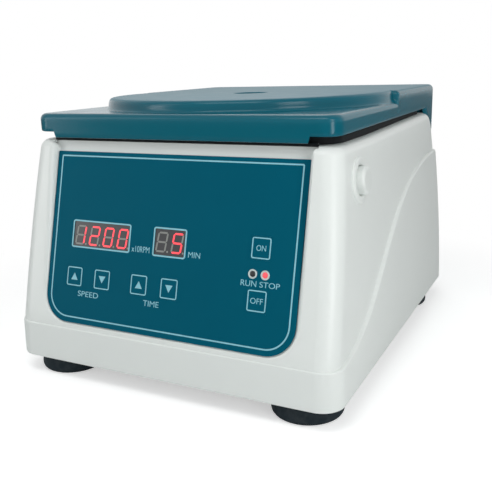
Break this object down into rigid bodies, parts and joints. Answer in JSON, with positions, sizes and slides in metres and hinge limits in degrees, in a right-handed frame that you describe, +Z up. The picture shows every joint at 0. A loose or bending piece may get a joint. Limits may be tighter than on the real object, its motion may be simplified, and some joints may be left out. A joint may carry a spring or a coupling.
{
  "type": "hematocrit centrifuge",
  "caption": "Bench centrifuge for blood capillaries: sloping keypad with red displays, hinged domed lid with sight port, grooved rotor with screw-down cover, side release button, rubber feet.",
  "frame": {"origin": "on the bench, under the middle of the case", "axes": "+X to the right of someone facing the panel, +Y to the rear, +Z up"},
  "size_m": [0.2652, 0.3288, 0.2064],
  "materials": {
    "case_white": "smooth pale grey-white moulding, satin gloss",
    "base_black": "black moulded plastic",
    "foot_rubber": "black moulded rubber, slightly shiny",
    "zinc_steel": "zinc-plated steel",
    "lid_teal": "glossy dark teal moulding",
    "liner_grey": "pale grey inner lid",
    "window_smoke": "smoky clear acrylic",
    "gasket_rubber": "soft black rubber",
    "bowl_aluminium": "spun aluminium",
    "bracket_steel": "bare sheet steel",
    "motor_black": "black painted can",
    "rotor_aluminium": "turned aluminium",
    "knob_black": "black knob with flutes",
    "button_grey": "pale grey plastic",
    "panel_teal": "printed film, satin teal with pale lines and words",
    "key_teal": "film key with a pale printed outline",
    "lamp_dark": "unlit red lamp",
    "lamp_red": "lit red lamp",
    "display_grey": "dark display block with red lit digits",
    "board_green": "green circuit board",
    "coil_copper": "lacquered core and coil",
    "inlet_black": "black moulded inlet"
  },
  "bodies": {
    "case": {"housing_shell": "case_white", "base_plate": "base_black", "foot_front_left": "foot_rubber", "foot_front_right": "foot_rubber", "foot_rear_left": "foot_rubber", "foot_rear_right": "foot_rubber", "foot_screw_front_left": "zinc_steel", "foot_screw_front_right": "zinc_steel", "foot_screw_rear_left": "zinc_steel", "foot_screw_rear_right": "zinc_steel", "deck_gasket": "gasket_rubber", "hinge_bracket_left": "zinc_steel", "hinge_bracket_right": "zinc_steel", "hinge_pin_left": "zinc_steel", "hinge_pin_right": "zinc_steel", "chamber_bowl": "bowl_aluminium", "motor_bracket": "bracket_steel", "motor_damper_1": "gasket_rubber", "motor_damper_2": "gasket_rubber", "motor_damper_3": "gasket_rubber", "motor_damper_4": "gasket_rubber", "motor_can": "motor_black", "motor_cap": "rotor_aluminium", "upper_bearing": "zinc_steel", "lower_bearing": "zinc_steel", "shaft_gaiter": "gasket_rubber", "release_bezel": "button_grey", "latch_bracket": "bracket_steel", "latch_pin": "zinc_steel", "lid_switch": "base_black", "control_panel": "panel_teal", "run_lamp": "lamp_dark", "stop_lamp": "lamp_red", "speed_display": "display_grey", "time_display": "display_grey", "control_board": "board_green", "power_board": "board_green", "transformer": "coil_copper", "power_inlet": "inlet_black"},
    "lid": {"lid_shell": "lid_teal", "lid_liner": "liner_grey", "sight_window": "window_smoke", "latch_striker": "zinc_steel", "hinge_arm_left": "zinc_steel", "hinge_arm_right": "zinc_steel"},
    "rotor": {"motor_shaft": "zinc_steel", "rotor_disc": "rotor_aluminium", "rotor_gasket": "gasket_rubber"},
    "cover": {"rotor_cover": "rotor_aluminium"},
    "knob": {"cover_knob": "knob_black"},
    "button": {"release_button": "button_grey"},
    "latch": {"latch_hook": "zinc_steel"},
    "speed_up": {"key_speed_up": "key_teal"},
    "speed_down": {"key_speed_down": "key_teal"},
    "time_up": {"key_time_up": "key_teal"},
    "time_down": {"key_time_down": "key_teal"},
    "start": {"key_start": "key_teal"},
    "stop": {"key_stop": "key_teal"},
    "drawer": {"fuse_drawer": "inlet_black"},
    "rocker": {"power_rocker": "inlet_black"}
  },
  "joints": [
    {"name": "lid_hinge", "type": "hinge", "parent": "case", "child": "lid", "pos_m": [0, 0.1415, 0.174], "axis": [-1, 0, 0], "range_deg": [0, 82]},
    {"name": "rotor_spin", "type": "hinge", "parent": "case", "child": "rotor", "pos_m": [0, -0.004, 0.15], "axis": [0, 0, 1], "continuous": true},
    {"name": "cover_lift", "type": "slide", "parent": "rotor", "child": "cover", "axis": [0, 0, 1], "range_m": [0, 0.00625]},
    {"name": "knob_turn", "type": "hinge", "parent": "cover", "child": "knob", "pos_m": [0, -0.004, 0.17], "axis": [0, 0, 1], "range_deg": [0, 1802]},
    {"name": "release_press", "type": "slide", "parent": "case", "child": "button", "axis": [-0.9964, 0, -0.0851], "range_m": [0, 0.003], "stiffness_N_per_m": 600},
    {"name": "latch_swing", "type": "hinge", "parent": "case", "child": "latch", "pos_m": [0.108, -0.099, 0.1625], "axis": [0, 1, 0], "range_deg": [0, 26]},
    {"name": "speed_up_press", "type": "slide", "parent": "case", "child": "speed_up", "axis": [0, 0.9641, -0.2656], "range_m": [0, 0.0004], "stiffness_N_per_m": 500},
    {"name": "speed_down_press", "type": "slide", "parent": "case", "child": "speed_down", "axis": [0, 0.9641, -0.2656], "range_m": [0, 0.0004], "stiffness_N_per_m": 500},
    {"name": "time_up_press", "type": "slide", "parent": "case", "child": "time_up", "axis": [0, 0.9641, -0.2656], "range_m": [0, 0.0004], "stiffness_N_per_m": 500},
    {"name": "time_down_press", "type": "slide", "parent": "case", "child": "time_down", "axis": [0, 0.9641, -0.2656], "range_m": [0, 0.0004], "stiffness_N_per_m": 500},
    {"name": "start_press", "type": "slide", "parent": "case", "child": "start", "axis": [0, 0.9641, -0.2656], "range_m": [0, 0.0004], "stiffness_N_per_m": 500},
    {"name": "stop_press", "type": "slide", "parent": "case", "child": "stop", "axis": [0, 0.9641, -0.2656], "range_m": [0, 0.0004], "stiffness_N_per_m": 500},
    {"name": "drawer_slide", "type": "slide", "parent": "case", "child": "drawer", "axis": [0, 0.9891, 0.1475], "range_m": [0, 0.016]},
    {"name": "rocker_tilt", "type": "hinge", "parent": "case", "child": "rocker", "pos_m": [-0.006, 0.15308, 0.0726], "axis": [-1, 0, 0], "range_deg": [0, 26.6]}
  ],
  "couplings": [
    {"joint": "knob_turn", "follows": "cover_lift", "rad_per_m": 5026.5},
    {"joint": "latch_swing", "follows": "release_press", "rad_per_m": 150}
  ]
}
